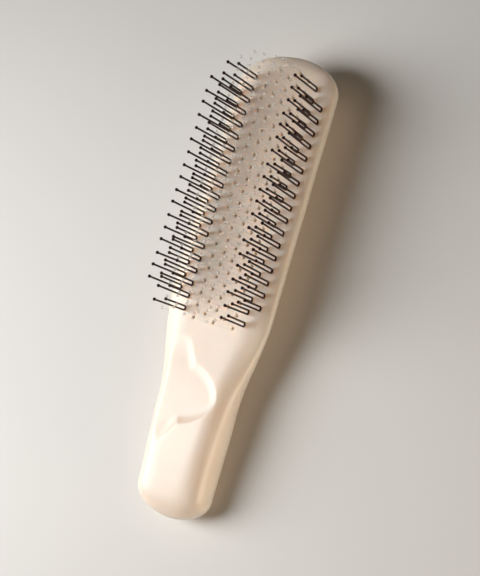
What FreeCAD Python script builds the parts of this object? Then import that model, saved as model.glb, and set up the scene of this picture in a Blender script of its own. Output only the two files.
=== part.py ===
import FreeCAD, Part
import math
import os

# Hair brush with rows of U-shaped pins, lying on its back with the pins up.
# X runs across the brush, Y along it towards the head end, and Z up from the surface it lies on.
# All sizes are in millimetres and degrees.

# Body outline, seen from the front
LENGTH = 197.0
HEAD_HALF_WIDTH_TIP = 22.8
HEAD_HALF_WIDTH_HEEL = 24.2
HANDLE_HALF_WIDTH_NECK = 17.9
HANDLE_HALF_WIDTH_END = 16.9
TIP_ROUNDING = 14.0
END_ROUNDING = 11.0
HEAD_LENGTH = 107.5
NECK_LENGTH = 42.0

# Body outline, seen from the side
FACE_LEVEL = 20.0
HANDLE_LEVEL = 20.8
END_LEVEL = 15.6
HEAD_WIDEST_LEVEL = 16.8
END_WIDEST_LEVEL = 7.4
KEEL_DEPTH = 2.0
NECK_ARCH = 3.2
ARCH_REACH = 25.0
LEVEL_REACH = 12.0

# How full the section is above and below its widest line: 2 is an ellipse, more is squarer
HEAD_FRONT_FULLNESS = 5.0
HEAD_BACK_FULLNESS = 1.5
HANDLE_FRONT_FULLNESS = 2.0
HANDLE_BACK_FULLNESS = 2.0

# Share of the front's full rise at which it is cut flat
FRONT_CUT = 0.77

# Walls, plates and pegs inside the body
WALL = 2.2
FACE_THICKNESS = 1.4
RETAINER_THICKNESS = 2.0
RETAINER_CLEARANCE = 0.3
RETAINER_CORNER = 8.0
POST_DIAMETER = 5.0
POST_OFFSET = 9.0
POST_PITCH = 40.0
POST_COUNT = 3
POST_END_MARGIN = 16.0
PEG_DIAMETER = 4.0
PEG_LENGTH = 5.0
PEG_CLEARANCE = 0.1
PEG_MARGIN = 10.0
SOCKET_WALL = 1.6

# Thumb scoop, measured from its middle on the handle's front
SCOOP_FROM_END = 51.0
SCOOP_UPPER_DEPTH = 0.6
SCOOP_LOWER_DEPTH = 1.3
SCOOP_REACH = 12.6
SCOOP_CUSP_X = -1.8
SCOOP_CUSP_Y = 12.6
SCOOP_SHOULDER_X = 8.6
SCOOP_SHOULDER_Y = 6.6
SCOOP_TAIL_X = -9.0
SCOOP_TAIL_Y = 22.5

# Pins and the field that they fill
PIN_THICKNESS = 0.9
PIN_SPREAD = 1.7
LONG_LEG = 24.4
SHORT_LEG = 17.0
BALL_DIAMETER = 1.5
COLUMN_SPACING = 4.75
ROW_PITCH = 5.29
FIRST_ROW_MARGIN = 6.9
FIELD_SIDE_MARGIN = 2.9
FIELD_END_MARGIN = 6.0
FIELD_LENGTH = 111.5
SPLAY_PER_COLUMN = 0.6
SLOT_CLEARANCE = 0.1
PIN_SEAT_GAP = 0.05

# Places along the brush
TIP_Y = LENGTH / 2.0
TIP_CENTRE_Y = TIP_Y - TIP_ROUNDING
END_CENTRE_Y = -LENGTH / 2.0 + END_ROUNDING
NECK_TOP_Y = TIP_Y - HEAD_LENGTH
NECK_BOTTOM_Y = NECK_TOP_Y - NECK_LENGTH
NECK_MIDDLE_Y = (NECK_TOP_Y + NECK_BOTTOM_Y) / 2.0
SCOOP_CENTRE_Y = SCOOP_FROM_END - LENGTH / 2.0
SCOOP_PAST_TAIL_Y = 2.0 * SCOOP_TAIL_Y - SCOOP_CUSP_Y
FIELD_TIP_Y = TIP_Y - FIELD_END_MARGIN
FIELD_HEEL_Y = FIELD_TIP_Y - FIELD_LENGTH
FACE_UNDERSIDE = FACE_LEVEL - FACE_THICKNESS
RETAINER_UNDERSIDE = FACE_UNDERSIDE - RETAINER_THICKNESS
ARCH_START_Y = NECK_TOP_Y + ARCH_REACH

# How finely the rounded forms are divided into flat facets
SECTION_FACETS = 12
INNER_FACETS = 6
END_FIRST_ANGLE = 3.0
END_STATIONS = 5
NECK_STATIONS = 5
HANDLE_STATIONS = 3
POST_SIDES = 8
FLATNESS = 1e-6
TOOL_SPAN = 2.0 * LENGTH


def smooth(value, start, end):
    """Goes from 0 at start to 1 at end, level at both."""
    share = min(max((value - start) / (end - start), 0.0), 1.0)
    return share * share * (3.0 - 2.0 * share)


def between(first, second, share):
    return first + (second - first) * share


def end_share(y, inset):
    """How much of the full section is left in the rounded ends."""
    past_tip = (y - TIP_CENTRE_Y) / (TIP_ROUNDING - inset)
    past_end = (END_CENTRE_Y - y) / (END_ROUNDING - inset)
    beyond = max(past_tip, past_end, 0.0)
    return math.sqrt(max(1.0 - beyond * beyond, 0.0))


def half_width(y):
    along_head = (TIP_CENTRE_Y - y) / (TIP_CENTRE_Y - NECK_TOP_Y)
    head = between(HEAD_HALF_WIDTH_TIP, HEAD_HALF_WIDTH_HEEL, min(max(along_head, 0.0), 1.0))
    along_handle = smooth(y, NECK_BOTTOM_Y, END_CENTRE_Y)
    handle = between(HANDLE_HALF_WIDTH_NECK, HANDLE_HALF_WIDTH_END, along_handle)
    return between(head, handle, smooth(y, NECK_TOP_Y, NECK_BOTTOM_Y))


def widest_level(y):
    return between(HEAD_WIDEST_LEVEL, END_WIDEST_LEVEL, smooth(y, NECK_TOP_Y + LEVEL_REACH, -TIP_Y))


def flat_level(y):
    """Level of the flat face, and of the flat front that the handle carries on from it."""
    neck = between(FACE_LEVEL, HANDLE_LEVEL, smooth(y, FIELD_HEEL_Y, NECK_BOTTOM_Y))
    past_neck = (NECK_BOTTOM_Y - y) / (NECK_BOTTOM_Y + TIP_Y)
    return between(neck, END_LEVEL, min(max(past_neck, 0.0), 1.0) ** 2)


def front_rise(y):
    """Height of the full crown over the widest line, before the flat front cuts it."""
    return (flat_level(y) - widest_level(y)) / FRONT_CUT


def back_drop(y):
    arch = NECK_ARCH * smooth(y, ARCH_START_Y, NECK_MIDDLE_Y) * smooth(y, -TIP_Y, NECK_MIDDLE_Y)
    return widest_level(y) + KEEL_DEPTH - arch


def half_section(y, level, width, height, fullness, facets):
    """Points of half a superellipse across the brush, from one side over the crown to the other."""
    points = [FreeCAD.Vector(width, y, level)]
    for step in range(1, facets):
        angle = math.pi * step / facets
        across = math.copysign(abs(math.cos(angle)) ** (2.0 / fullness), math.cos(angle))
        up = math.sin(angle) ** (2.0 / fullness)
        points.append(FreeCAD.Vector(width * across, y, level + height * up))
    return points + [FreeCAD.Vector(-width, y, level)]


def front_section(y, inset, lift, facets):
    """Section in front of the widest line."""
    fullness = between(HEAD_FRONT_FULLNESS, HANDLE_FRONT_FULLNESS, smooth(y, NECK_TOP_Y, NECK_MIDDLE_Y))
    share = end_share(y, inset)
    width = (half_width(y) - inset) * share
    return half_section(y, widest_level(y) + lift, width, front_rise(y) * share, fullness, facets)


def back_section(y, inset, lift, facets):
    """Section behind the widest line."""
    fullness = between(HEAD_BACK_FULLNESS, HANDLE_BACK_FULLNESS, smooth(y, NECK_TOP_Y, NECK_BOTTOM_Y))
    share = end_share(y, inset)
    width = (half_width(y) - inset) * share
    return half_section(y, widest_level(y) + lift, width, (inset - back_drop(y)) * share, fullness, facets)


def stations(inset):
    """Places of the sections, closer together in the rounded ends."""
    angles = [between(END_FIRST_ANGLE, 90.0, step / END_STATIONS) for step in range(END_STATIONS)]
    reach = [math.cos(math.radians(angle)) for angle in angles]
    tip = [TIP_CENTRE_Y + (TIP_ROUNDING - inset) * share for share in reach]
    end = [END_CENTRE_Y - (END_ROUNDING - inset) * share for share in reversed(reach)]
    neck = [between(NECK_TOP_Y, NECK_BOTTOM_Y, step / NECK_STATIONS) for step in range(NECK_STATIONS)]
    handle = [between(NECK_BOTTOM_Y, END_CENTRE_Y, step / HANDLE_STATIONS) for step in range(HANDLE_STATIONS)]
    return tip + [TIP_CENTRE_Y, ARCH_START_Y] + neck + handle + [END_CENTRE_Y] + end


def half_body(half):
    """Outer form of one shell, closed along the parting line where the body is widest."""
    return skin([half(y, 0.0, 0.0, SECTION_FACETS) for y in stations(0.0)])


def inner_body(inset):
    """Inside form at a given depth, raised by what the flat back takes off the wall."""
    rings = []
    for y in stations(inset):
        front = front_section(y, inset, KEEL_DEPTH, INNER_FACETS)
        back = back_section(y, inset, KEEL_DEPTH, INNER_FACETS)
        rings.append(front + back[-2:0:-1])
    return skin(rings)


def facet(corners):
    return Part.Face(Part.makePolygon(corners + corners[:1]))


def is_flat(corners):
    first, second, third, fourth = corners
    return abs((second - first).cross(third - first).dot(fourth - first)) < FLATNESS


def band(first, second):
    """Flat facets between two rings; a ring whose corners all meet is a point."""
    faces = []
    for corner in range(len(first)):
        following = (corner + 1) % len(first)
        corners = [first[corner], first[following], second[following], second[corner]]
        if corners[0] == corners[1]:
            faces.append(facet(corners[1:]))
        elif corners[2] == corners[3]:
            faces.append(facet(corners[:3]))
        elif is_flat(corners):
            faces.append(facet(corners))
        else:
            faces.append(facet(corners[:3]))
            faces.append(facet([corners[0], corners[2], corners[3]]))
    return faces


def skin(rings):
    """Closes a row of rings of equally many corners into one solid."""
    faces = [facet(ring) for ring in (rings[0], rings[-1]) if ring[0] != ring[1]]
    for first, second in zip(rings, rings[1:]):
        faces += band(first, second)
    solid = Part.Solid(Part.Shell(faces))
    if solid.Volume < 0:
        solid.reverse()
    return solid


def side_prism(corners):
    """Extrudes an outline in the YZ plane across the whole brush."""
    prism = facet(corners).extrude(FreeCAD.Vector(TOOL_SPAN, 0, 0))
    prism.translate(FreeCAD.Vector(-TOOL_SPAN / 2.0, 0, 0))
    return prism


def side_point(y, z):
    return FreeCAD.Vector(0, y, z)


def above_front(drop):
    """Space over the flat front, or over a level at some depth below it."""
    handle = [y for y in stations(0.0) if END_CENTRE_Y <= y < FIELD_HEEL_Y]
    places = [TOOL_SPAN, FIELD_HEEL_Y] + handle + [-TIP_Y, -TOOL_SPAN]
    line = [side_point(y, flat_level(y) - drop) for y in places]
    return side_prism(line + [side_point(-TOOL_SPAN, TOOL_SPAN), side_point(TOOL_SPAN, TOOL_SPAN)])


def slab(bottom, top):
    corner = FreeCAD.Vector(-TOOL_SPAN / 2.0, -TOOL_SPAN / 2.0, bottom)
    return Part.makeBox(TOOL_SPAN, TOOL_SPAN, top - bottom, corner)


def above_scoop_floor():
    """Space over the scoop's floor, which meets the flat front at the ends of the tails."""
    depths = [
        (SCOOP_PAST_TAIL_Y, -SCOOP_UPPER_DEPTH),
        (SCOOP_CUSP_Y, SCOOP_UPPER_DEPTH),
        (-SCOOP_CUSP_Y, SCOOP_LOWER_DEPTH),
        (-SCOOP_PAST_TAIL_Y, -SCOOP_LOWER_DEPTH),
    ]
    line = []
    for along, depth in depths:
        y = SCOOP_CENTRE_Y + along
        line.append(side_point(y, flat_level(y) - depth))
    top = [side_point(line[-1].y, TOOL_SPAN), side_point(line[0].y, TOOL_SPAN)]
    return side_prism(line + top)


def scoop_tool():
    """Thumb scoop: a round lobe between two cusps, open to the left side of the handle."""
    def place(x, y):
        return FreeCAD.Vector(x, y, 0)
    lobe_points = [
        place(SCOOP_CUSP_X, SCOOP_CUSP_Y),
        place(SCOOP_SHOULDER_X, SCOOP_SHOULDER_Y),
        place(SCOOP_REACH, 0),
        place(SCOOP_SHOULDER_X, -SCOOP_SHOULDER_Y),
        place(SCOOP_CUSP_X, -SCOOP_CUSP_Y),
    ]
    lobe = Part.BSplineCurve()
    lobe.interpolate(lobe_points)
    open_side = -2.0 * HANDLE_HALF_WIDTH_NECK
    past_tail_x = 2.0 * SCOOP_TAIL_X - SCOOP_CUSP_X
    corners = [
        lobe_points[-1],
        place(past_tail_x, -SCOOP_PAST_TAIL_Y),
        place(open_side, -SCOOP_PAST_TAIL_Y),
        place(open_side, SCOOP_PAST_TAIL_Y),
        place(past_tail_x, SCOOP_PAST_TAIL_Y),
        lobe_points[0],
    ]
    edges = [lobe.toShape()]
    edges += [Part.LineSegment(first, second).toShape() for first, second in zip(corners, corners[1:])]
    outline = Part.Face(Part.Wire(edges)).extrude(FreeCAD.Vector(0, 0, TOOL_SPAN))
    outline.translate(FreeCAD.Vector(0, SCOOP_CENTRE_Y, 0))
    return outline.common(above_scoop_floor())


def in_head(shape, heel):
    """The stretch of a shape from the heel of the pin field to the tip."""
    span = TIP_Y - heel
    return shape.common(Part.makeBox(TOOL_SPAN, span, TOOL_SPAN, FreeCAD.Vector(-TOOL_SPAN / 2.0, heel, 0)))


def in_field(x, y):
    """Whether a pin stands at this place: the field has rounded ends like the head's."""
    half = half_width(y) - FIELD_SIDE_MARGIN
    if abs(x) >= half:
        return False
    reach = TIP_ROUNDING * math.sqrt(1.0 - (x / half) ** 2)
    return FIELD_HEEL_Y + TIP_ROUNDING - reach <= y <= FIELD_TIP_Y - TIP_ROUNDING + reach


def column_rows(column):
    """Pin places along one column; every second column is shifted by half a pitch."""
    x = column * COLUMN_SPACING
    shift = 0.0 if column % 2 else ROW_PITCH / 2.0
    first = TIP_Y - FIRST_ROW_MARGIN - shift
    rows = []
    for row in range(-1, int(LENGTH / ROW_PITCH)):
        if in_field(x, first - row * ROW_PITCH):
            rows.append(first - row * ROW_PITCH)
    return rows


def columns():
    count = int((HEAD_HALF_WIDTH_TIP - FIELD_SIDE_MARGIN) / COLUMN_SPACING)
    return range(-count, count + 1)


def column_name(column):
    if column == 0:
        return "centre_pins"
    side = "left" if column < 0 else "right"
    return f"{side}_pins_{abs(column)}"


def ring(y, z, size):
    """Square ring across a pin's leg."""
    half = size / 2.0
    corners = ((-half, -half), (half, -half), (half, half), (-half, half))
    return [FreeCAD.Vector(x, y + along, z) for x, along in corners]


def bend_ring(y, z, direction):
    """Mitred ring at the outer corner of the bend, where the leg meets the bar."""
    half = PIN_THICKNESS / 2.0
    outer = [FreeCAD.Vector(x, y - direction * half, z - half) for x in (-half, half)]
    inner = [FreeCAD.Vector(x, y + direction * half, z + half) for x in (half, -half)]
    return outer + inner


def leg_rings(y, length):
    """Rings of one leg, from the top of its ball down to the shaft."""
    middle = FACE_LEVEL + length
    return [
        [FreeCAD.Vector(0, y, middle + BALL_DIAMETER / 2.0)] * 4,
        ring(y, middle, BALL_DIAMETER),
        ring(y, middle - BALL_DIAMETER / 2.0, PIN_THICKNESS),
    ]


def u_pin():
    """One U-shaped pin at the origin of X and Y: its long leg towards the handle."""
    half = PIN_SPREAD / 2.0
    bar_level = FACE_UNDERSIDE + PIN_SEAT_GAP + PIN_THICKNESS / 2.0
    rings = leg_rings(-half, LONG_LEG)
    rings.append(bend_ring(-half, bar_level, 1.0))
    rings.append(bend_ring(half, bar_level, -1.0))
    flipped = [[r[3], r[2], r[1], r[0]] for r in reversed(leg_rings(half, SHORT_LEG))]
    return skin(rings + flipped)


def place_pin(pin, column, y):
    """Stands a pin in its slot, leaning outwards with its column."""
    placed = pin.copy()
    foot = FreeCAD.Vector(0, 0, FACE_UNDERSIDE)
    placed.rotate(foot, FreeCAD.Vector(0, 1, 0), column * SPLAY_PER_COLUMN)
    placed.translate(FreeCAD.Vector(column * COLUMN_SPACING, y, 0))
    return placed


def slot(x, y):
    width = PIN_THICKNESS + 2.0 * SLOT_CLEARANCE
    length = PIN_SPREAD + PIN_THICKNESS + 2.0 * SLOT_CLEARANCE
    corner = FreeCAD.Vector(x - width / 2.0, y - length / 2.0, FACE_UNDERSIDE)
    return Part.makeBox(width, length, FACE_THICKNESS, corner)


def slots():
    return [slot(column * COLUMN_SPACING, y) for column in columns() for y in column_rows(column)]


def peg_places():
    """Places of the pegs on the centre line of the handle."""
    return [FIELD_HEEL_Y - PEG_MARGIN, END_CENTRE_Y + PEG_MARGIN]


def upright_post(x, y, diameter, bottom, top):
    """Upright many-sided post, measured across its flats."""
    radius = diameter / 2.0 / math.cos(math.pi / POST_SIDES)
    rings = []
    for z in (bottom, top):
        angles = [2.0 * math.pi * (side + 0.5) / POST_SIDES for side in range(POST_SIDES)]
        rings.append([FreeCAD.Vector(x + radius * math.cos(a), y + radius * math.sin(a), z) for a in angles])
    return skin(rings)


def front_shell(hollow):
    """Front of the body: the slotted face, the handle's front and the pegs under it."""
    shell = half_body(front_section).cut(above_front(0.0))
    shell = shell.cut(in_head(hollow, FIELD_HEEL_Y)).cut(scoop_tool())
    shell = shell.cut(Part.makeCompound(slots()))
    for y in peg_places():
        level = widest_level(y)
        shell = shell.fuse(upright_post(0, y, PEG_DIAMETER, level - PEG_LENGTH, level + PEG_DIAMETER / 2.0))
    return shell


def back_shell(hollow):
    """Back of the body: a tub with posts under the retainer and sockets for the pegs."""
    form = half_body(back_section).cut(slab(-TOOL_SPAN, 0.0))
    shell = form.cut(hollow)
    for x in (-POST_OFFSET, POST_OFFSET):
        for step in range(POST_COUNT):
            y = FIELD_TIP_Y - POST_END_MARGIN - step * POST_PITCH
            shell = shell.fuse(upright_post(x, y, POST_DIAMETER, 0, RETAINER_UNDERSIDE).common(form))
    bore = PEG_DIAMETER + 2.0 * PEG_CLEARANCE
    for y in peg_places():
        level = widest_level(y)
        socket = upright_post(0, y, bore + 2.0 * SOCKET_WALL, 0, FACE_LEVEL).common(form)
        socket_floor = level - PEG_LENGTH - PEG_CLEARANCE
        shell = shell.fuse(socket).cut(upright_post(0, y, bore, socket_floor, FACE_LEVEL))
    return shell


def heel_corner(heel, side):
    """Prism that takes off one of the retainer's corners at the heel."""
    outer = half_width(heel)
    inner = outer - WALL - RETAINER_CLEARANCE - RETAINER_CORNER
    corners = [
        FreeCAD.Vector(side * inner, heel, 0),
        FreeCAD.Vector(side * outer, heel, 0),
        FreeCAD.Vector(side * outer, heel + outer - inner, 0),
    ]
    return facet(corners).extrude(FreeCAD.Vector(0, 0, TOOL_SPAN))


def retainer(lining):
    """Plate behind the face that the bends of the pins rest on."""
    plate = lining.common(slab(RETAINER_UNDERSIDE, FACE_UNDERSIDE))
    heel = FIELD_HEEL_Y + RETAINER_CLEARANCE
    return in_head(plate, heel).cut(Part.makeCompound([heel_corner(heel, side) for side in (-1.0, 1.0)]))


def main():
    os.makedirs("parts", exist_ok=True)
    hollow = inner_body(WALL).cut(above_front(FACE_THICKNESS))
    pieces = {
        "front_shell": front_shell(hollow),
        "back_shell": back_shell(hollow),
        "pin_retainer": retainer(inner_body(WALL + RETAINER_CLEARANCE)),
    }
    pin = u_pin()
    for column in columns():
        pins = [place_pin(pin, column, y) for y in column_rows(column)]
        pieces[column_name(column)] = Part.makeCompound(pins)
    for name, shape in pieces.items():
        shape.exportStep(f"parts/{name}.step")
        print(name, len(shape.Solids), shape.isValid(), round(shape.Volume, 1))


main()
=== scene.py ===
import math

import bmesh
import bpy
from mathutils import Matrix, Vector


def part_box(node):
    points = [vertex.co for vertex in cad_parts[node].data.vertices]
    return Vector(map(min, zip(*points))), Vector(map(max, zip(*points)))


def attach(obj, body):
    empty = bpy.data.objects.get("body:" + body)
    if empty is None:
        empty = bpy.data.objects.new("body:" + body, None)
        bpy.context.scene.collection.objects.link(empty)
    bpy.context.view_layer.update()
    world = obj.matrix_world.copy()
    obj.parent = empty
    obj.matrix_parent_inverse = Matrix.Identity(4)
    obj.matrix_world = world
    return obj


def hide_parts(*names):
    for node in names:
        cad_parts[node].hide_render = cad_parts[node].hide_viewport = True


# Looks of a hair brush: waxy ivory shells with a thumb scoop, and columns of U-shaped pins,
# dark along the sides and clear in the middle. Lengths are in metres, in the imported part's frame.

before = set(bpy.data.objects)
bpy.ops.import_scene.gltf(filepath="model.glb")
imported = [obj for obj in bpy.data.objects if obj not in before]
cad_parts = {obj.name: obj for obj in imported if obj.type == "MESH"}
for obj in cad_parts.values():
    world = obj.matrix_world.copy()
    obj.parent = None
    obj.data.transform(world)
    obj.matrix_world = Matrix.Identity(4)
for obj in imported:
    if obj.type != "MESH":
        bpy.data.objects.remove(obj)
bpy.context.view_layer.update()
MM = 0.001

# Body form, close to the solids, with a softer rim round the head
TIP_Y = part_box("front_shell")[1].y
HEAD_LENGTH = 107.5 * MM
FACE_LENGTH = 117.5 * MM
NECK_LENGTH = 42.0 * MM
HEAD_HALF_WIDTH_TIP = 22.8 * MM
HEAD_HALF_WIDTH_HEEL = 24.2 * MM
HANDLE_HALF_WIDTH_NECK = 17.9 * MM
HANDLE_HALF_WIDTH_END = 16.9 * MM
TIP_ROUNDING = 14.0 * MM
END_ROUNDING = 11.0 * MM
FACE_LEVEL = 20.0 * MM
HANDLE_LEVEL = 20.8 * MM
END_LEVEL = 15.6 * MM
FACE_THICKNESS = 1.4 * MM
HEAD_WIDEST_LEVEL = 16.8 * MM
END_WIDEST_LEVEL = 7.4 * MM
LEVEL_REACH = 12.0 * MM
KEEL_DEPTH = 2.0 * MM
NECK_ARCH = 3.2 * MM
ARCH_REACH = 25.0 * MM
FRONT_CUT = 0.77
HEAD_FRONT_FULLNESS = 3.4
HEAD_BACK_FULLNESS = 1.5
HANDLE_FRONT_FULLNESS = 2.0
HANDLE_BACK_FULLNESS = 2.0
WALL = 2.2 * MM
HANDLE_ROOF = 5.0 * MM

# Places along the body
TIP_CENTRE_Y = TIP_Y - TIP_ROUNDING
END_CENTRE_Y = END_ROUNDING - TIP_Y
NECK_TOP_Y = TIP_Y - HEAD_LENGTH
NECK_BOTTOM_Y = NECK_TOP_Y - NECK_LENGTH
NECK_MIDDLE_Y = (NECK_TOP_Y + NECK_BOTTOM_Y) / 2.0
ARCH_START_Y = NECK_TOP_Y + ARCH_REACH
LEVEL_START_Y = NECK_TOP_Y + LEVEL_REACH
HEEL_Y = TIP_Y - FACE_LENGTH

# Soft edges and the joint between the shells
RIM_SOFTNESS = 0.7 * MM
END_SOFTNESS = 3.2 * MM
KEEL_SOFTNESS = 1.2 * MM
SEAM_CHAMFER = 0.15 * MM
SEAM_GAP = 0.04 * MM

# Thumb scoop, measured from its middle on the handle's front
SCOOP_FROM_END = 51.0 * MM
SCOOP_Y = SCOOP_FROM_END - TIP_Y
SCOOP_UPPER_DEPTH = 0.6 * MM
SCOOP_LOWER_DEPTH = 1.3 * MM
SCOOP_WALL_RUN = 4.2 * MM
SCOOP_SOFTNESS = 0.4 * MM
SCOOP_CUSP = Vector((-1.8, 12.6)) * MM
SCOOP_REACH = 14.4 * MM
SCOOP_LOBE_FULLNESS = 1.6
SCOOP_TAIL = Vector((-7.6, 23.0)) * MM
SCOOP_OUTLINE_STEPS = 40

# Fineness of the shells' meshes
ACROSS_STEPS = 120
INNER_STEPS = 40
SECTION_STEPS = 240
END_STEPS = 24
HEAD_STEP = 1.8 * MM
HANDLE_STEP = 0.7 * MM
SHARP_ANGLE = math.radians(40.0)

# Pins, and the slots and holes that they stand in
DARK_COLUMNS = (-4, -3, 3, 4)
CLEAR_COLUMNS = (-2, -1, 0, 1, 2)
COLUMN_SPACING = 4.75 * MM
ROW_PITCH = 5.29 * MM
PIN_THICKNESS = 0.82 * MM
PIN_SPREAD = 1.7 * MM
LONG_LEG = 24.3 * MM
SHORT_LEG = 17.0 * MM
BALL_DIAMETER = 1.5 * MM
BEND_RISE = 0.15 * MM
LONG_LEG_TWIST = math.radians(0.5)
SPLAY_PER_COLUMN = math.radians(0.6)
PIN_WOBBLE = math.radians(0.9)
SLOT_CLEARANCE = 0.05 * MM
SLOT_SNAP = 0.01 * MM
HOLE_DIAMETER = 1.5 * MM

# Fineness of the pins' and slots' meshes
PIN_SIDES = 7
BEND_STEPS = 7
BALL_RINGS = 5
SLOT_SIDES = 12

# Clear pins: opacity of their legs, what milky bends and tips add to it, and the attribute that marks these
CLEAR_OPACITY = 0.02
MILKY_OPACITY = 0.35
MILKY = "milky"

# Camera: its place, the point that it looks at and the direction that is up in the picture
CAMERA_PLACE = Vector((310.0, -39.9, 595.2)) * MM
CAMERA_AIM = Vector((7.3, -0.2, 20.0)) * MM
CAMERA_UP = Vector((-0.2332, 0.9540, 0.1886))
CAMERA_LENS = 100.0
CAMERA_SENSOR = 36.0
CAMERA_CLIP_START = 10.0 * MM

# Light and floor, and how many clear surfaces a ray may pass in a row
CLEAR_LAYERS = 32
LAMP_AIM = Vector((0.0, -0.07, 0.0))
LAMP_SPREAD = math.radians(100.0)
KEY_PLACE = Vector((-0.45, -0.16, 0.41))
KEY_SIZE = (0.42, 0.74)
KEY_POWER = 2.13
KEY_COLOR = (1.0, 0.99, 0.975)
FILL_PLACE = Vector((0.52, -0.14, 0.065))
FILL_SIZE = (0.50, 0.12)
FILL_POWER = 0.50
FILL_COLOR = (1.0, 0.84, 0.64)
SKY_COLOR = (1.0, 0.86, 0.74)
SKY_STRENGTH = 0.024
FLOOR_SPAN = 3.0
FLOOR_DROP = 0.1 * MM


def clamped(share):
    return min(max(share, 0.0), 1.0)


def smooth(value, start, end):
    """Goes from 0 at start to 1 at end, level at both."""
    share = clamped((value - start) / (end - start))
    return share * share * (3.0 - 2.0 * share)


def between(first, second, share):
    return first + (second - first) * share


def soft_min(first, second, softness):
    """The lower of two heights, with the corner between them rounded off."""
    if softness <= 0.0:
        return min(first, second)
    overlap = max(softness - abs(first - second), 0.0) / softness
    return min(first, second) - overlap * overlap * softness / 4.0


def soft_max(first, second, softness):
    return -soft_min(-first, -second, softness)


# Body form

def end_share(y, inset=0.0):
    """How much of the full section is left in the rounded ends."""
    past_tip = (y - TIP_CENTRE_Y) / (TIP_ROUNDING - inset)
    past_end = (END_CENTRE_Y - y) / (END_ROUNDING - inset)
    beyond = max(past_tip, past_end, 0.0)
    return math.sqrt(max(1.0 - beyond * beyond, 0.0))


def neck_share(y):
    return smooth(y, NECK_TOP_Y, NECK_BOTTOM_Y)


def half_width(y):
    along_head = (TIP_CENTRE_Y - y) / (TIP_CENTRE_Y - NECK_TOP_Y)
    head = between(HEAD_HALF_WIDTH_TIP, HEAD_HALF_WIDTH_HEEL, clamped(along_head))
    along_handle = smooth(y, NECK_BOTTOM_Y, END_CENTRE_Y)
    handle = between(HANDLE_HALF_WIDTH_NECK, HANDLE_HALF_WIDTH_END, along_handle)
    return between(head, handle, neck_share(y))


def widest_level(y):
    return between(HEAD_WIDEST_LEVEL, END_WIDEST_LEVEL, smooth(y, LEVEL_START_Y, -TIP_Y))


def flat_level(y):
    """Level of the flat face, and of the flat front that the handle carries on from it."""
    neck = between(FACE_LEVEL, HANDLE_LEVEL, smooth(y, HEEL_Y, NECK_BOTTOM_Y))
    past_neck = max(NECK_BOTTOM_Y - y, 0.0) / (NECK_BOTTOM_Y + TIP_Y)
    return between(neck, END_LEVEL, past_neck ** 2)


def front_rise(y):
    """Height of the full crown over the widest line, before the flat front cuts it."""
    return (flat_level(y) - widest_level(y)) / FRONT_CUT


def front_fullness(y):
    return between(HEAD_FRONT_FULLNESS, HANDLE_FRONT_FULLNESS, smooth(y, ARCH_START_Y, HEEL_Y))


def back_drop(y):
    """Depth of the full keel under the widest line, before the flat strip that it lies on cuts it."""
    arch = NECK_ARCH * smooth(y, ARCH_START_Y, NECK_MIDDLE_Y) * smooth(y, -TIP_Y, NECK_MIDDLE_Y)
    return widest_level(y) + KEEL_DEPTH - arch


def superellipse(angle, width, height, fullness):
    across = math.copysign(abs(math.cos(angle)) ** (2.0 / fullness), math.cos(angle))
    return width * across, height * math.sin(angle) ** (2.0 / fullness)


def front_outline(y, inset=0.0, roof=0.0):
    """Points across the front, from the right side over the crown to the left."""
    share = end_share(y, inset)
    width = (half_width(y) - inset) * share
    rise = (front_rise(y) - roof) * share
    softness = between(RIM_SOFTNESS, END_SOFTNESS, smooth(y, HEEL_Y, -TIP_Y))
    points = []
    for step in range(SECTION_STEPS + 1):
        x, up = superellipse(math.pi * step / SECTION_STEPS, width, rise, front_fullness(y))
        points.append((x, soft_min(widest_level(y) + up, flat_level(y) - roof, softness)))
    return points


def back_outline(y, inset=0.0):
    """Points across the back, from the left side under the keel to the right."""
    fullness = between(HEAD_BACK_FULLNESS, HANDLE_BACK_FULLNESS, neck_share(y))
    share = end_share(y, inset)
    width = (half_width(y) - inset) * share
    drop = (back_drop(y) - inset) * share
    points = []
    for step in range(SECTION_STEPS + 1):
        x, down = superellipse(math.pi * step / SECTION_STEPS, -width, drop, fullness)
        points.append((x, soft_max(widest_level(y) - down, inset, KEEL_SOFTNESS)))
    return points


def evenly(points, count, margin):
    """Points at even distances along a line, a margin in from its ends that is a quarter of it at most."""
    lengths = [0.0]
    for first, second in zip(points, points[1:]):
        lengths.append(lengths[-1] + math.dist(first, second))
    margin = min(margin, lengths[-1] / 4.0)
    spread = []
    at = 0
    for step in range(count + 1):
        wanted = between(margin, lengths[-1] - margin, step / count)
        while at < len(points) - 2 and lengths[at + 1] < wanted:
            at += 1
        share = (wanted - lengths[at]) / (lengths[at + 1] - lengths[at])
        spread.append([between(a, b, share) for a, b in zip(points[at], points[at + 1])])
    return spread


def stations(inset=0.0):
    """Places of the sections: close together in the rounded ends and along the handle."""
    reach = [math.cos(math.radians(90.0) * step / END_STEPS) for step in range(1, END_STEPS)]
    places = [TIP_CENTRE_Y + (TIP_ROUNDING - inset) * share for share in reach]
    y = TIP_CENTRE_Y
    while y > END_CENTRE_Y:
        places.append(y)
        y -= HEAD_STEP if y > HEEL_Y + HEAD_STEP else HANDLE_STEP
    end = [END_CENTRE_Y - (END_ROUNDING - inset) * share for share in reversed(reach)]
    return places + [END_CENTRE_Y] + end


# Thumb scoop

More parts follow.
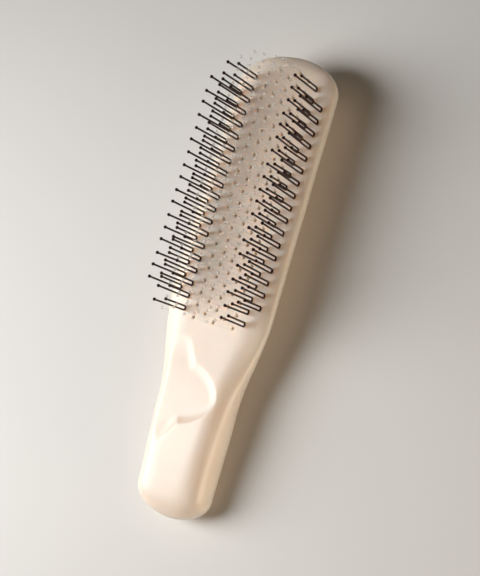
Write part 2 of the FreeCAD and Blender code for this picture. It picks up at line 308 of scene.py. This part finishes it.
def scoop_outline():
    """The scoop's edge: a tail, a cusp, a round lobe, a cusp and a tail, open to the left."""
    lobe = []
    for step in range(SCOOP_OUTLINE_STEPS + 1):
        angle = math.pi * (0.5 - step / SCOOP_OUTLINE_STEPS)
        along = math.copysign(abs(math.sin(angle)) ** (2.0 / SCOOP_LOBE_FULLNESS), math.sin(angle))
        out = max(math.cos(angle), 0.0) ** (2.0 / SCOOP_LOBE_FULLNESS)
        lobe.append(Vector((SCOOP_CUSP.x + SCOOP_REACH * out, SCOOP_CUSP.y * along)))
    return [SCOOP_TAIL] + lobe + [Vector((SCOOP_TAIL.x, -SCOOP_TAIL.y))]


def outline_distance(point, outline):
    """Distance to the outline and whether the point is on its open, left side."""
    nearest = math.inf
    edge_x = -math.inf
    for first, second in zip(outline, outline[1:]):
        run = second - first
        share = clamped((point - first).dot(run) / run.length_squared)
        nearest = min(nearest, (first + run * share - point).length)
        if run.y and min(first.y, second.y) <= point.y <= max(first.y, second.y):
            edge_x = max(edge_x, first.x + run.x * (point.y - first.y) / run.y)
    return nearest, point.x < edge_x


def scoop_depth(along):
    """Depth of the scoop's floor under the flat front; it runs out at the ends of the tails."""
    in_lobe = between(SCOOP_LOWER_DEPTH, SCOOP_UPPER_DEPTH, smooth(along, -SCOOP_CUSP.y, SCOOP_CUSP.y))
    tail_remaining = clamped((SCOOP_TAIL.y - abs(along)) / (SCOOP_TAIL.y - SCOOP_CUSP.y))
    tail_gone = 1.0 - tail_remaining
    return in_lobe * (1.0 - tail_gone * tail_gone)


def scooped(x, y, z, outline):
    """Height of the front once the scoop is sunk into it."""
    along = y - SCOOP_Y
    depth = scoop_depth(along)
    distance, inside = outline_distance(Vector((x, along)), outline)
    if not inside or depth <= 0.0:
        return z
    floor = flat_level(y) - depth
    off_the_wall = 1.0 - max(1.0 - distance / SCOOP_WALL_RUN, 0.0) ** 2
    wanted = between(max(z, floor), floor, off_the_wall)
    return soft_min(z, wanted, min(SCOOP_SOFTNESS, depth) * off_the_wall)


# Shells

def shell_rings(outline_at, seam_shift):
    """Rings of a shell's outside, each ending in a chamfer at the joint between the shells."""
    rings = []
    for y in stations():
        line = outline_at(y)
        level = widest_level(y) + seam_shift
        chamfer = SEAM_CHAMFER * end_share(y)
        points = evenly(line, ACROSS_STEPS, chamfer)
        side = math.copysign(1.0, line[0][0])
        first = (line[0][0] - side * chamfer, level)
        last = (line[-1][0] + side * chamfer, level)
        rings.append([Vector((x, y, z)) for x, z in [first] + points + [last]])
    return rings


def skin(name, rings, tip, end):
    """Closes a row of rings, and the points at its two ends, into one solid mesh."""
    mesh = bpy.data.meshes.new(name)
    form = bmesh.new()
    rows = [[form.verts.new(point) for point in ring] for ring in rings]
    for first, second in zip(rows, rows[1:]):
        for corner in range(len(first)):
            following = (corner + 1) % len(first)
            form.faces.new((first[corner], first[following], second[following], second[corner]))
    for row, point in ((rows[0], form.verts.new(tip)), (rows[-1], form.verts.new(end))):
        for corner in range(len(row)):
            form.faces.new((row[corner], row[(corner + 1) % len(row)], point))
    bmesh.ops.recalc_face_normals(form, faces=form.faces)
    form.to_mesh(mesh)
    form.free()
    piece = bpy.data.objects.new(name, mesh)
    bpy.context.scene.collection.objects.link(piece)
    return piece


def pole(y, seam_shift):
    """The point that closes the rings at one end."""
    return Vector((0.0, y, widest_level(y) + seam_shift))


def front_form():
    rings = shell_rings(front_outline, SEAM_GAP / 2.0)
    outline = scoop_outline()
    for ring in rings:
        for point in ring:
            point.z = scooped(point.x, point.y, point.z, outline)
    return skin("front_shell_finished", rings, pole(TIP_Y, SEAM_GAP), pole(-TIP_Y, SEAM_GAP))


def back_form():
    rings = shell_rings(back_outline, -SEAM_GAP / 2.0)
    return skin("back_shell_finished", rings, pole(TIP_Y, -SEAM_GAP), pole(-TIP_Y, -SEAM_GAP))


def inner_form():
    """The hollow inside the two shells."""
    rings = []
    for y in stations(WALL):
        roof = between(FACE_THICKNESS, HANDLE_ROOF, neck_share(y))
        front = evenly(front_outline(y, WALL, roof), INNER_STEPS, 0.0)
        back = evenly(back_outline(y, WALL), INNER_STEPS, 0.0)
        rings.append([Vector((x, y, z)) for x, z in front + back[1:-1]])
    return skin("hollow", rings, pole(TIP_Y - WALL, 0.0), pole(WALL - TIP_Y, 0.0))


def cut(piece, *tools):
    """Takes the tools' shapes out of a piece, and smooths what is left up to its sharp edges."""
    for tool in tools:
        modifier = piece.modifiers.new("cut", "BOOLEAN")
        modifier.object = tool
        modifier.operation = "DIFFERENCE"
        modifier.solver = "EXACT"
    make_plain(piece)
    piece.data.shade_smooth()
    piece.data.set_sharp_from_angle(angle=SHARP_ANGLE)


def make_plain(piece):
    """Turns a piece and its modifiers into one plain mesh."""
    bpy.context.view_layer.update()
    evaluated = piece.evaluated_get(bpy.context.evaluated_depsgraph_get())
    mesh = bpy.data.meshes.new_from_object(evaluated)
    mesh.name = piece.name
    piece.modifiers.clear()
    piece.data = mesh


# Node trees

def add_node(tree, kind, inputs=None, **settings):
    """Adds a node, with its settings, and links or sets its inputs."""
    node = tree.nodes.new(kind)
    for name, value in settings.items():
        setattr(node, name, value)
    for name, value in (inputs or {}).items():
        if isinstance(value, bpy.types.NodeSocket):
            tree.links.new(value, node.inputs[name])
        else:
            node.inputs[name].default_value = value
    return node


def calculate(tree, operation, first, second=0.0):
    node = add_node(tree, "ShaderNodeMath", {0: first, 1: second}, operation=operation)
    return node.outputs[0]


def vector_of(tree, x=0.0, y=0.0, z=0.0):
    return add_node(tree, "ShaderNodeCombineXYZ", {"X": x, "Y": y, "Z": z}).outputs[0]


def new_geometry_tree(name, sizes):
    """A geometry tree with named inputs; returns it and its group input's sockets."""
    tree = bpy.data.node_groups.new(name, "GeometryNodeTree")
    for label, kind in sizes:
        tree.interface.new_socket(label, in_out="INPUT", socket_type=kind)
    tree.interface.new_socket("Geometry", in_out="OUTPUT", socket_type="NodeSocketGeometry")
    return tree, add_node(tree, "NodeGroupInput").outputs


COLUMN_INPUTS = [
    ("Count", "NodeSocketInt"),
    ("Start", "NodeSocketVector"),
    ("Pitch", "NodeSocketFloat"),
    ("Thickness", "NodeSocketFloat"),
    ("Spread", "NodeSocketFloat"),
]
PIN_INPUTS = COLUMN_INPUTS + [
    ("Long Leg", "NodeSocketFloat"),
    ("Short Leg", "NodeSocketFloat"),
    ("Ball Diameter", "NodeSocketFloat"),
    ("Seat", "NodeSocketFloat"),
    ("Splay", "NodeSocketFloat"),
    ("Twist", "NodeSocketFloat"),
    ("Wobble", "NodeSocketFloat"),
    ("Seed", "NodeSocketInt"),
    ("Material", "NodeSocketMaterial"),
]
SLOT_INPUTS = COLUMN_INPUTS + [("Clearance", "NodeSocketFloat"), ("Depth", "NodeSocketFloat")]


def column_points(tree, given):
    """A row of points down a column, one for each pin."""
    step = vector_of(tree, y=calculate(tree, "MULTIPLY", given["Pitch"], -1.0))
    line = add_node(tree, "GeometryNodeMeshLine", {
        "Count": given["Count"], "Start Location": given["Start"], "Offset": step})
    return line.outputs["Mesh"]


def u_line(tree, given):
    """Centre line of a pin: down the long leg, round the bend and up the short leg."""
    # Point 0 is the long leg's tip, the last point is the short leg's tip, and those between are the bend
    last = BEND_STEPS + 2
    line = add_node(tree, "GeometryNodeCurvePrimitiveLine").outputs[0]
    line = add_node(tree, "GeometryNodeResampleCurve", {"Curve": line, "Count": last + 1}).outputs[0]
    index = add_node(tree, "GeometryNodeInputIndex").outputs[0]
    angle = add_node(tree, "ShaderNodeMapRange", {
        "Value": index, "From Min": 1.0, "From Max": last - 1.0,
        "To Min": 0.0, "To Max": math.pi}).outputs[0]
    radius = calculate(tree, "MULTIPLY", given["Spread"], 0.5)
    first_y = calculate(tree, "MULTIPLY", radius, -1.0)
    y = calculate(tree, "MULTIPLY", calculate(tree, "COSINE", angle), first_y)
    dip = calculate(tree, "MULTIPLY", calculate(tree, "SINE", angle), radius)
    bend_centre = calculate(tree, "ADD", given["Seat"], radius)
    at_start = calculate(tree, "LESS_THAN", index, 0.5)
    at_end = calculate(tree, "GREATER_THAN", index, last - 0.5)
    long_rise = calculate(tree, "SUBTRACT", given["Long Leg"], bend_centre)
    short_rise = calculate(tree, "SUBTRACT", given["Short Leg"], bend_centre)
    rise = calculate(tree, "ADD", calculate(tree, "MULTIPLY", at_start, long_rise),
                     calculate(tree, "MULTIPLY", at_end, short_rise))
    z = calculate(tree, "ADD", calculate(tree, "SUBTRACT", bend_centre, dip), rise)
    x = calculate(tree, "MULTIPLY", at_start, given["Twist"])
    placed = add_node(tree, "GeometryNodeSetPosition", {
        "Geometry": line, "Position": vector_of(tree, x, y, z)}).outputs[0]
    past_middle = calculate(tree, "GREATER_THAN", index, last / 2.0)
    past_bend = calculate(tree, "GREATER_THAN", index, last - 1.5)
    milky = calculate(tree, "SUBTRACT", past_middle, past_bend)
    return add_node(tree, "GeometryNodeStoreNamedAttribute", {
        "Geometry": placed, "Name": MILKY, "Value": milky}, data_type="FLOAT", domain="POINT").outputs[0]


def ball(tree, given, leg, side, x=0.0):
    """Round tip of one leg; side is -1 for the long leg and 1 for the short one."""
    sphere = add_node(tree, "GeometryNodeMeshUVSphere", {
        "Segments": PIN_SIDES, "Rings": BALL_RINGS,
        "Radius": calculate(tree, "MULTIPLY", given["Ball Diameter"], 0.5)})
    place = vector_of(tree, x, calculate(tree, "MULTIPLY", given["Spread"], side / 2.0), given[leg])
    moved = add_node(tree, "GeometryNodeTransform", {
        "Geometry": sphere.outputs["Mesh"], "Translation": place})
    marked = add_node(tree, "GeometryNodeStoreNamedAttribute", {
        "Geometry": moved.outputs[0], "Name": MILKY, "Value": 1.0}, data_type="FLOAT", domain="POINT")
    return marked.outputs[0]


def pin_column_tree():
    """A column of U-shaped pins with round tips, each leaning a little by chance."""
    tree, given = new_geometry_tree("pin_column", PIN_INPUTS)
    circle = add_node(tree, "GeometryNodeCurvePrimitiveCircle", {
        "Resolution": PIN_SIDES, "Radius": calculate(tree, "MULTIPLY", given["Thickness"], 0.5)})
    strand = add_node(tree, "GeometryNodeCurveToMesh", {
        "Curve": u_line(tree, given), "Profile Curve": circle.outputs["Curve"], "Fill Caps": True}).outputs[0]
    long_tip = ball(tree, given, "Long Leg", -1.0, given["Twist"])
    short_tip = ball(tree, given, "Short Leg", 1.0)
    pin = add_node(tree, "GeometryNodeJoinGeometry")
    for part in (strand, long_tip, short_tip):
        tree.links.new(part, pin.inputs[0])
    rounded = add_node(tree, "GeometryNodeSetShadeSmooth", {"Geometry": pin.outputs[0]})
    least = calculate(tree, "MULTIPLY", given["Wobble"], -1.0)
    chance = add_node(tree, "FunctionNodeRandomValue", {
        "Min": vector_of(tree, least, least, least),
        "Max": vector_of(tree, given["Wobble"], given["Wobble"], given["Wobble"]),
        "Seed": given["Seed"]}, data_type="FLOAT_VECTOR").outputs[0]
    lean = add_node(tree, "ShaderNodeVectorMath", {
        0: chance, 1: vector_of(tree, y=given["Splay"])}, operation="ADD").outputs[0]
    stood = add_node(tree, "GeometryNodeInstanceOnPoints", {
        "Points": column_points(tree, given), "Instance": rounded.outputs[0], "Rotation": lean})
    real = add_node(tree, "GeometryNodeRealizeInstances", {"Geometry": stood.outputs[0]})
    dressed = add_node(tree, "GeometryNodeSetMaterial", {
        "Geometry": real.outputs[0], "Material": given["Material"]})
    add_node(tree, "NodeGroupOutput", {"Geometry": dressed.outputs[0]})
    return tree


def slot_column_tree():
    """Cutters for a column: upright prisms with rounded ends, or round ones where the spread is 0."""
    tree, given = new_geometry_tree("slot_column", SLOT_INPUTS)
    half = calculate(tree, "MULTIPLY", given["Thickness"], 0.5)
    prism = add_node(tree, "GeometryNodeMeshCylinder", {
        "Vertices": SLOT_SIDES, "Radius": calculate(tree, "ADD", half, given["Clearance"]),
        "Depth": given["Depth"]}, fill_type="NGON")
    y = add_node(tree, "ShaderNodeSeparateXYZ", {
        "Vector": add_node(tree, "GeometryNodeInputPosition").outputs[0]}).outputs["Y"]
    side = calculate(tree, "SIGN", calculate(tree, "SNAP", y, SLOT_SNAP))
    stretch = calculate(tree, "MULTIPLY", side, calculate(tree, "MULTIPLY", given["Spread"], 0.5))
    longer = add_node(tree, "GeometryNodeSetPosition", {
        "Geometry": prism.outputs["Mesh"], "Offset": vector_of(tree, y=stretch)})
    stood = add_node(tree, "GeometryNodeInstanceOnPoints", {
        "Points": column_points(tree, given), "Instance": longer.outputs[0]})
    real = add_node(tree, "GeometryNodeRealizeInstances", {"Geometry": stood.outputs[0]})
    add_node(tree, "NodeGroupOutput", {"Geometry": real.outputs[0]})
    return tree


def grow(name, tree, sizes):
    """A plain mesh made by a geometry tree with the given sizes."""
    piece = bpy.data.objects.new(name, bpy.data.meshes.new(name))
    modifier = piece.modifiers.new("grow", "NODES")
    modifier.node_group = tree
    sockets = {item.name: item.identifier for item in tree.interface.items_tree if item.in_out == "INPUT"}
    for label, value in sizes.items():
        modifier[sockets[label]] = value
    bpy.context.scene.collection.objects.link(piece)
    make_plain(piece)
    return piece


# Pins

def column_node(column):
    if column == 0:
        return "centre_pins"
    side = "left" if column < 0 else "right"
    return f"{side}_pins_{abs(column)}"


def column_sizes(column, level):
    """Sizes that a column's pins and slots share, from the place of its node."""
    low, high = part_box(column_node(column))
    edge = (PIN_SPREAD + BALL_DIAMETER) / 2.0
    first, last = high.y - edge, low.y + edge
    return {
        "Count": round((first - last) / ROW_PITCH) + 1,
        "Start": (column * COLUMN_SPACING, first, level),
        "Pitch": ROW_PITCH,
        "Thickness": PIN_THICKNESS,
        "Spread": PIN_SPREAD,
    }


def pin_column(column, tree, material):
    """One column's pins, with their heights from the face's underside."""
    sizes = column_sizes(column, FACE_LEVEL - FACE_THICKNESS)
    sizes.update({
        "Long Leg": FACE_THICKNESS + LONG_LEG,
        "Short Leg": FACE_THICKNESS + SHORT_LEG,
        "Ball Diameter": BALL_DIAMETER,
        "Seat": FACE_THICKNESS + BEND_RISE,
        "Splay": column * SPLAY_PER_COLUMN,
        "Twist": LONG_LEG * math.tan(column * LONG_LEG_TWIST),
        "Wobble": PIN_WOBBLE,
        "Seed": column + len(DARK_COLUMNS) + len(CLEAR_COLUMNS),
        "Material": material,
    })
    return grow(f"{column_node(column)}_finished", tree, sizes)


def slot_cutter():
    """One mesh with the cutters of the dark pins' slots and the clear pins' holes."""
    tree = slot_column_tree()
    form = bmesh.new()
    for column in DARK_COLUMNS + CLEAR_COLUMNS:
        sizes = column_sizes(column, FACE_LEVEL - FACE_THICKNESS / 2.0)
        sizes.update({"Clearance": SLOT_CLEARANCE, "Depth": 2.0 * FACE_THICKNESS})
        if column in CLEAR_COLUMNS:
            sizes.update({"Spread": 0.0, "Thickness": HOLE_DIAMETER})
        slots = grow("slots", tree, sizes)
        form.from_mesh(slots.data)
        bpy.data.objects.remove(slots)
    mesh = bpy.data.meshes.new("slot_cutter")
    form.to_mesh(mesh)
    form.free()
    tool = bpy.data.objects.new("slot_cutter", mesh)
    bpy.context.scene.collection.objects.link(tool)
    return tool


# Materials

def new_material(name):
    """A material with an empty tree; returns it, the tree and its Object coordinates."""
    material = bpy.data.materials.new(name)
    material.use_nodes = True
    material.node_tree.nodes.clear()
    place = add_node(material.node_tree, "ShaderNodeTexCoord").outputs["Object"]
    return material, material.node_tree, place


def close_material(tree, shader):
    add_node(tree, "ShaderNodeOutputMaterial", {"Surface": shader.outputs[0]})


MOULDING_INPUTS = [
    ("Place", "NodeSocketVector"),
    ("Cloud Scale", "NodeSocketFloat"),
    ("Grain Scale", "NodeSocketFloat"),
    ("Shade", "NodeSocketColor"),
    ("Tint", "NodeSocketColor"),
    ("Least Roughness", "NodeSocketFloat"),
    ("Most Roughness", "NodeSocketFloat"),
]
MOULDING_OUTPUTS = [
    ("Color", "NodeSocketColor"),
    ("Roughness", "NodeSocketFloat"),
    ("Height", "NodeSocketFloat"),
]
GRAIN_RANGE = (0.3, 0.7)
GRAIN_HEIGHT = 0.35


def mixed(tree, share, first, second):
    """A colour that goes from the first to the second as the share goes from 0 to 1."""
    mix = add_node(tree, "ShaderNodeMix", {0: share, 6: first, 7: second}, data_type="RGBA")
    return mix.outputs[2]


def moulding_group():
    """Shared look of moulded plastic: slow cloudiness in the mass and a fine uneven surface."""
    group = bpy.data.node_groups.new("moulded_plastic", "ShaderNodeTree")
    for label, kind in MOULDING_INPUTS:
        group.interface.new_socket(label, in_out="INPUT", socket_type=kind)
    for label, kind in MOULDING_OUTPUTS:
        group.interface.new_socket(label, in_out="OUTPUT", socket_type=kind)
    given = add_node(group, "NodeGroupInput").outputs
    cloud = add_node(group, "ShaderNodeTexNoise", {
        "Vector": given["Place"], "Scale": given["Cloud Scale"], "Detail": 3.0, "Roughness": 0.55}).outputs[0]
    grain = add_node(group, "ShaderNodeTexNoise", {
        "Vector": given["Place"], "Scale": given["Grain Scale"], "Detail": 4.0, "Roughness": 0.6}).outputs[0]
    color = mixed(group, cloud, given["Shade"], given["Tint"])
    roughness = add_node(group, "ShaderNodeMapRange", {
        "Value": grain, "From Min": GRAIN_RANGE[0], "From Max": GRAIN_RANGE[1],
        "To Min": given["Least Roughness"], "To Max": given["Most Roughness"]}).outputs[0]
    height = calculate(group, "ADD", calculate(group, "MULTIPLY", grain, GRAIN_HEIGHT), cloud)
    add_node(group, "NodeGroupOutput", {"Color": color, "Roughness": roughness, "Height": height})
    return group


def moulded(tree, group, place, finish):
    """Places the shared moulding look in a material with a finish's values; returns its outputs."""
    return add_node(tree, "ShaderNodeGroup", {"Place": place, **finish}, node_tree=group).outputs


def bumped(tree, height, strength, distance):
    bump = add_node(tree, "ShaderNodeBump", {"Height": height, "Strength": strength, "Distance": distance})
    return bump.outputs[0]


def ivory_plastic(group):
    """Waxy ivory plastic with a soft sheen, which light soaks into."""
    material, tree, place = new_material("ivory_plastic")
    look = moulded(tree, group, place, {
        "Cloud Scale": 45.0,
        "Grain Scale": 900.0,
        "Shade": (0.86, 0.70, 0.565, 1.0),
        "Tint": (0.93, 0.785, 0.665, 1.0),
        "Least Roughness": 0.34,
        "Most Roughness": 0.46})
    shader = add_node(tree, "ShaderNodeBsdfPrincipled", {
        "Base Color": look["Color"],
        "Roughness": look["Roughness"],
        "IOR": 1.46,
        "Coat Weight": 0.6,
        "Coat Roughness": 0.36,
        "Subsurface Weight": 0.9,
        "Subsurface Radius": (1.0, 0.55, 0.30),
        "Subsurface Scale": 8.0 * MM,
        "Normal": bumped(tree, look["Height"], 0.12, 0.2 * MM)}, subsurface_method="BURLEY")
    close_material(tree, shader)
    return material


def dark_nylon(group):
    """Pins of a maroon that is nearly black, with a soft shine."""
    material, tree, place = new_material("dark_nylon")
    look = moulded(tree, group, place, {
        "Cloud Scale": 240.0,
        "Grain Scale": 2600.0,
        "Shade": (0.012, 0.003, 0.003, 1.0),
        "Tint": (0.040, 0.009, 0.008, 1.0),
        "Least Roughness": 0.30,
        "Most Roughness": 0.45})
    shader = add_node(tree, "ShaderNodeBsdfPrincipled", {
        "Base Color": look["Color"],
        "Roughness": look["Roughness"],
        "Specular IOR Level": 0.2,
        "Normal": bumped(tree, look["Height"], 0.1, 0.05 * MM)})
    close_material(tree, shader)
    return material


def clear_nylon(group):
    """Clear pins with milky bends and tips."""
    material, tree, place = new_material("clear_nylon")
    look = moulded(tree, group, place, {
        "Cloud Scale": 200.0,
        "Grain Scale": 2200.0,
        "Shade": (0.86, 0.79, 0.70, 1.0),
        "Tint": (0.95, 0.91, 0.85, 1.0),
        "Least Roughness": 0.10,
        "Most Roughness": 0.24})
    milky = add_node(tree, "ShaderNodeAttribute", attribute_name=MILKY).outputs["Fac"]
    shader = add_node(tree, "ShaderNodeBsdfPrincipled", {
        "Base Color": look["Color"],
        "Roughness": look["Roughness"],
        "IOR": 1.5,
        "Alpha": calculate(tree, "ADD", calculate(tree, "MULTIPLY", milky, MILKY_OPACITY), CLEAR_OPACITY),
        "Transmission Weight": 0.3,
        "Normal": bumped(tree, look["Height"], 0.1, 0.05 * MM)})
    close_material(tree, shader)
    return material


def retainer_painted_shade(group):
    """Plate under the face, coloured brown so that the slots and holes show painted shade as dark spots."""
    material, tree, place = new_material("retainer_painted_shade")
    look = moulded(tree, group, place, {
        "Cloud Scale": 80.0,
        "Grain Scale": 1500.0,
        "Shade": (0.34, 0.24, 0.18, 1.0),
        "Tint": (0.42, 0.31, 0.24, 1.0),
        "Least Roughness": 0.45,
        "Most Roughness": 0.6})
    shader = add_node(tree, "ShaderNodeBsdfPrincipled", {
        "Base Color": look["Color"],
        "Roughness": look["Roughness"],
        "Normal": bumped(tree, look["Height"], 0.15, 0.1 * MM)})
    close_material(tree, shader)
    return material


def pale_floor():
    """A plain pale surface, very slightly cloudy."""
    material, tree, place = new_material("pale_floor")
    cloud = add_node(tree, "ShaderNodeTexNoise", {"Vector": place, "Scale": 6.0, "Detail": 2.0}).outputs[0]
    color = mixed(tree, cloud, (0.73, 0.715, 0.69, 1.0), (0.76, 0.745, 0.72, 1.0))
    shader = add_node(tree, "ShaderNodeBsdfPrincipled", {
        "Base Color": color, "Roughness": 0.7, "Specular IOR Level": 0.25})
    close_material(tree, shader)
    return material


def dress(piece, material):
    piece.data.materials.clear()
    piece.data.materials.append(material)


def settle(piece, node):
    """Hangs a finished piece under the body's root and hides the model part that it stands in for."""
    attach(piece, "root")
    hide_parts(node)


# The brush

def build_shells(material):
    front = front_form()
    back = back_form()
    hollow = inner_form()
    slots = slot_cutter()
    cut(front, hollow, slots)
    cut(back, hollow)
    for tool in (hollow, slots):
        bpy.data.objects.remove(tool)
    for piece, node in ((front, "front_shell"), (back, "back_shell")):
        dress(piece, material)
        settle(piece, node)


def build_pins(dark, clear):
    tree = pin_column_tree()
    for columns, material, slot in ((DARK_COLUMNS, dark, "dark_pins"), (CLEAR_COLUMNS, clear, "clear_pins")):
        for column in columns:
            pins = pin_column(column, tree, material)
            settle(pins, column_node(column))


def build_brush():
    moulding = moulding_group()
    build_shells(ivory_plastic(moulding))
    build_pins(dark_nylon(moulding), clear_nylon(moulding))
    # The retainer's brown is painted shade in the slots and holes
    dress(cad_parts["pin_retainer"], retainer_painted_shade(moulding))


# The stage

def build_floor():
    half = FLOOR_SPAN / 2.0
    mesh = bpy.data.meshes.new("floor")
    corners = [(-half, -half), (half, -half), (half, half), (-half, half)]
    mesh.from_pydata([(x, y, -FLOOR_DROP) for x, y in corners], [], [(0, 1, 2, 3)])
    floor = bpy.data.objects.new("floor", mesh)
    bpy.context.scene.collection.objects.link(floor)
    dress(floor, pale_floor())


def aimed(place, aim, up):
    """Placement that looks from one point at another with a given direction up."""
    back = (place - aim).normalized()
    right = up.cross(back).normalized()
    turn = Matrix((right, back.cross(right), back)).transposed()
    return Matrix.Translation(place) @ turn.to_4x4()


def build_camera():
    data = bpy.data.cameras.new("camera")
    data.sensor_fit = "VERTICAL"
    data.sensor_height = CAMERA_SENSOR
    data.sensor_width = CAMERA_SENSOR
    data.lens = CAMERA_LENS
    data.clip_start = CAMERA_CLIP_START
    camera = bpy.data.objects.new("camera", data)
    camera.matrix_world = aimed(CAMERA_PLACE, CAMERA_AIM, CAMERA_UP)
    bpy.context.scene.collection.objects.link(camera)
    bpy.context.scene.camera = camera


def add_lamp(name, place, size, power, color):
    """A soft lamp, so wide and so high, that shines at the brush."""
    data = bpy.data.lights.new(name, "AREA")
    data.shape = "ELLIPSE"
    data.size, data.size_y = size
    data.spread = LAMP_SPREAD
    data.energy = power
    data.color = color
    lamp = bpy.data.objects.new(name, data)
    lamp.matrix_world = aimed(place, LAMP_AIM, Vector((0.0, 0.0, 1.0)))
    bpy.context.scene.collection.objects.link(lamp)


def build_light():
    add_lamp("key", KEY_PLACE, KEY_SIZE, KEY_POWER, KEY_COLOR)
    add_lamp("fill", FILL_PLACE, FILL_SIZE, FILL_POWER, FILL_COLOR)
    world = bpy.data.worlds.new("sky")
    world.use_nodes = True
    background = world.node_tree.nodes["Background"]
    background.inputs["Color"].default_value = (*SKY_COLOR, 1.0)
    background.inputs["Strength"].default_value = SKY_STRENGTH
    bpy.context.scene.world = world


build_brush()
build_floor()
build_camera()
build_light()
bpy.context.scene.view_settings.view_transform = "Standard"
bpy.context.scene.cycles.transparent_max_bounces = CLEAR_LAYERS
